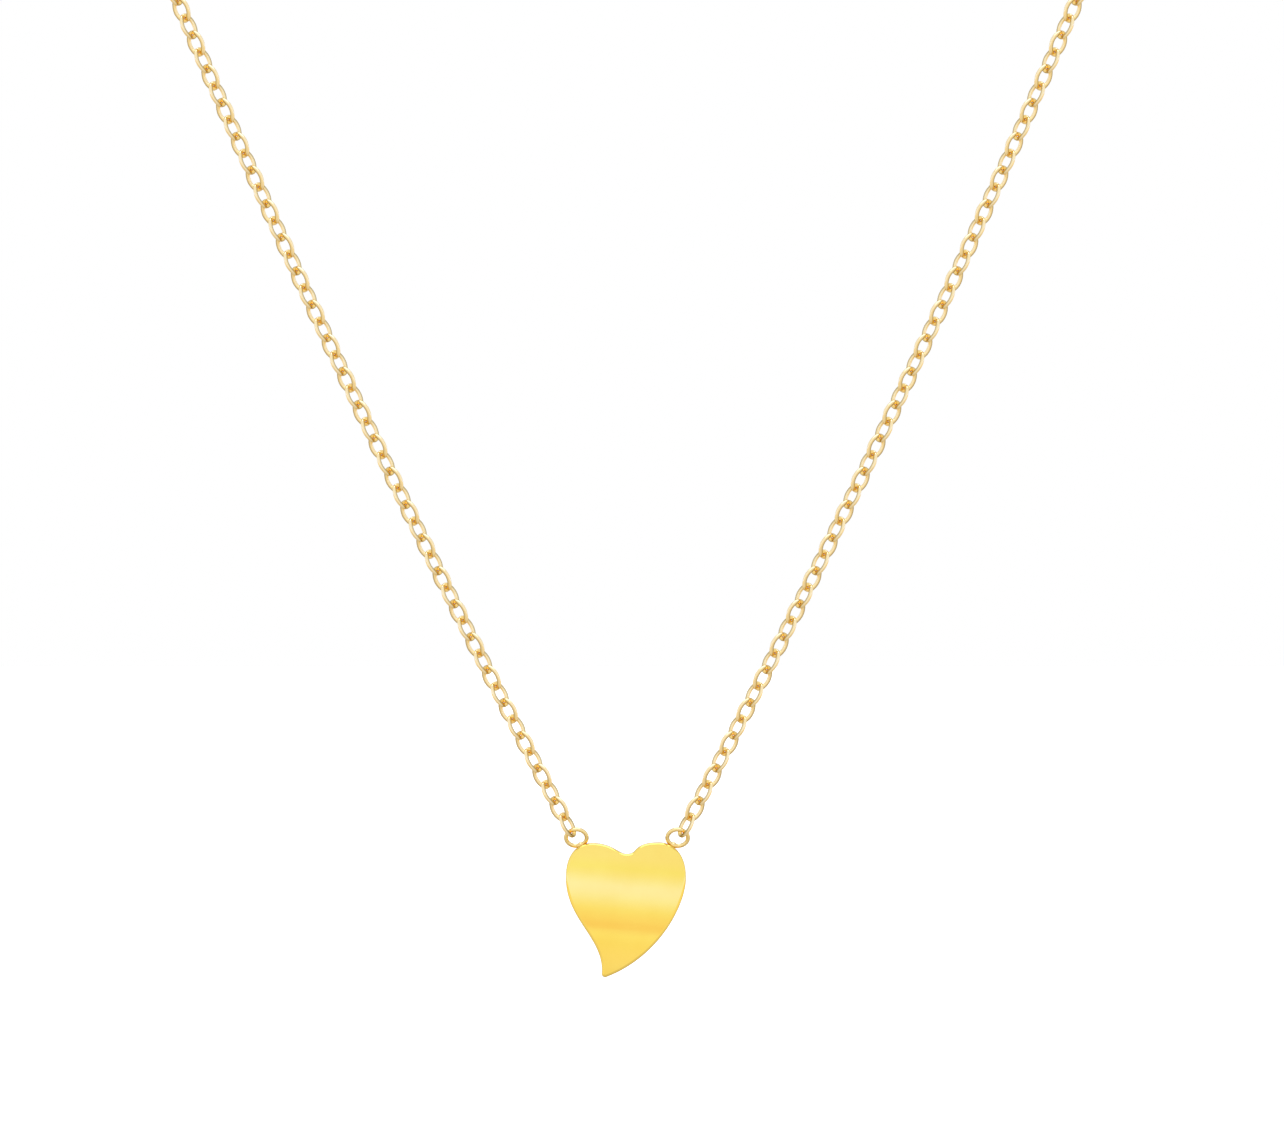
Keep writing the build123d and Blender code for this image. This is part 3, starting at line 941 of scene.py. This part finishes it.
scene = bpy.context.scene
floor_z = cad_low.z - FLOOR_DROP * MM
floor_mesh = bpy.data.meshes.new("floor")
turns = [i * math.pi / 48 for i in range(96)]
ring = [(FLOOR_RADIUS * math.cos(turn), FLOOR_RADIUS * math.sin(turn), floor_z) for turn in turns]
floor_mesh.from_pydata(ring, [], [tuple(range(96))])
floor = bpy.data.objects.new("floor", floor_mesh)
scene.collection.objects.link(floor)
material, nodes, links, shader = node_material("floor_white")
shader.inputs["Base Color"].default_value = (0.40, 0.40, 0.40, 1)
shader.inputs["Roughness"].default_value = 0.5
shader.inputs["Emission Color"].default_value = (1, 0.995, 0.985, 1)
shader.inputs["Emission Strength"].default_value = 0.78
floor.visible_glossy = False
floor_mesh.materials.append(material)

world = bpy.data.worlds.new("studio")
scene.world = world
world.use_nodes = True
nodes, links = world.node_tree.nodes, world.node_tree.links
background = nodes["Background"]
coords = nodes.new("ShaderNodeTexCoord")
split = nodes.new("ShaderNodeSeparateXYZ")
links.new(coords.outputs["Generated"], split.inputs["Vector"])
sky = nodes.new("ShaderNodeValToRGB")
links.new(add_range(nodes, links, split.outputs["Z"], -1, 1, 0, 1), sky.inputs["Fac"])
ramp = sky.color_ramp
# Colours of the studio by the sine of the elevation, from the floor to straight up.
stops = [
    (-1.0, (0.70, 0.62, 0.50)),
    (-0.50, (0.86, 0.76, 0.60)),
    (-0.282, (1.00, 0.89, 0.68)),
    (-0.224, (0.99, 0.89, 0.61)),
    (-0.180, (1.01, 0.955, 0.71)),
    (-0.160, (1.00, 0.91, 0.68)),
    (-0.142, (0.98, 0.79, 0.54)),
    (-0.122, (0.98, 0.79, 0.54)),
    (-0.100, (0.99, 0.85, 0.60)),
    (-0.079, (0.99, 0.88, 0.64)),
    (-0.049, (0.99, 0.945, 0.74)),
    (-0.019, (1.00, 1.00, 1.06)),
    (0.010, (1.00, 1.055, 1.42)),
    (0.040, (1.02, 1.08, 1.70)),
    (0.069, (1.02, 1.09, 1.77)),
    (0.098, (1.00, 1.055, 1.42)),
    (0.127, (0.99, 1.00, 1.03)),
    (0.157, (0.98, 0.995, 0.82)),
    (0.214, (0.99, 0.975, 0.99)),
    (0.45, (0.97, 0.96, 0.94)),
    (1.0, (0.96, 0.95, 0.94)),
]
for height, _ in stops[1:-1]:
    ramp.elements.new((height + 1) / 2)
for element, (_, colour) in zip(ramp.elements, stops):
    element.color = (*[c / SKY_STRENGTH for c in colour], 1)
paths = nodes.new("ShaderNodeLightPath")
shown = nodes.new("ShaderNodeMix")
shown.data_type = "RGBA"
shown.inputs["B"].default_value = (0.5, 0.5, 0.5, 1)
links.new(paths.outputs["Is Camera Ray"], shown.inputs["Factor"])
links.new(sky.outputs["Color"], shown.inputs["A"])
links.new(shown.outputs["Result"], background.inputs["Color"])
background.inputs["Strength"].default_value = SKY_STRENGTH

light_data = bpy.data.lights.new("top_soft", "AREA")
light_data.shape = "RECTANGLE"
light_data.size, light_data.size_y = 0.5, 0.4
light_data.energy = 1.0
light = bpy.data.objects.new("top_soft", light_data)
scene.collection.objects.link(light)
light.location = (0, -0.05, 0.55)
light_aim = Vector((0, 0.02, 0.05))
light.rotation_euler = (light_aim - light.location).to_track_quat("-Z", "Y").to_euler()

camera_data = bpy.data.cameras.new("camera")
camera = bpy.data.objects.new("camera", camera_data)
scene.collection.objects.link(camera)
scene.camera = camera
camera.location = Vector(VIEW_CENTRE) * MM - Vector((0, VIEW_DISTANCE, 0))
camera.rotation_euler = (math.pi / 2, 0, 0)
camera_data.sensor_width = SENSOR_WIDTH
camera_data.lens = SENSOR_WIDTH * VIEW_DISTANCE / (VIEW_WIDTH * MM)
camera_data.clip_start = 0.01
camera_data.clip_end = 10

scene.view_settings.view_transform = "Standard"
scene.view_settings.look = "None"
scene.cycles.max_bounces = 10
scene.cycles.glossy_bounces = 8
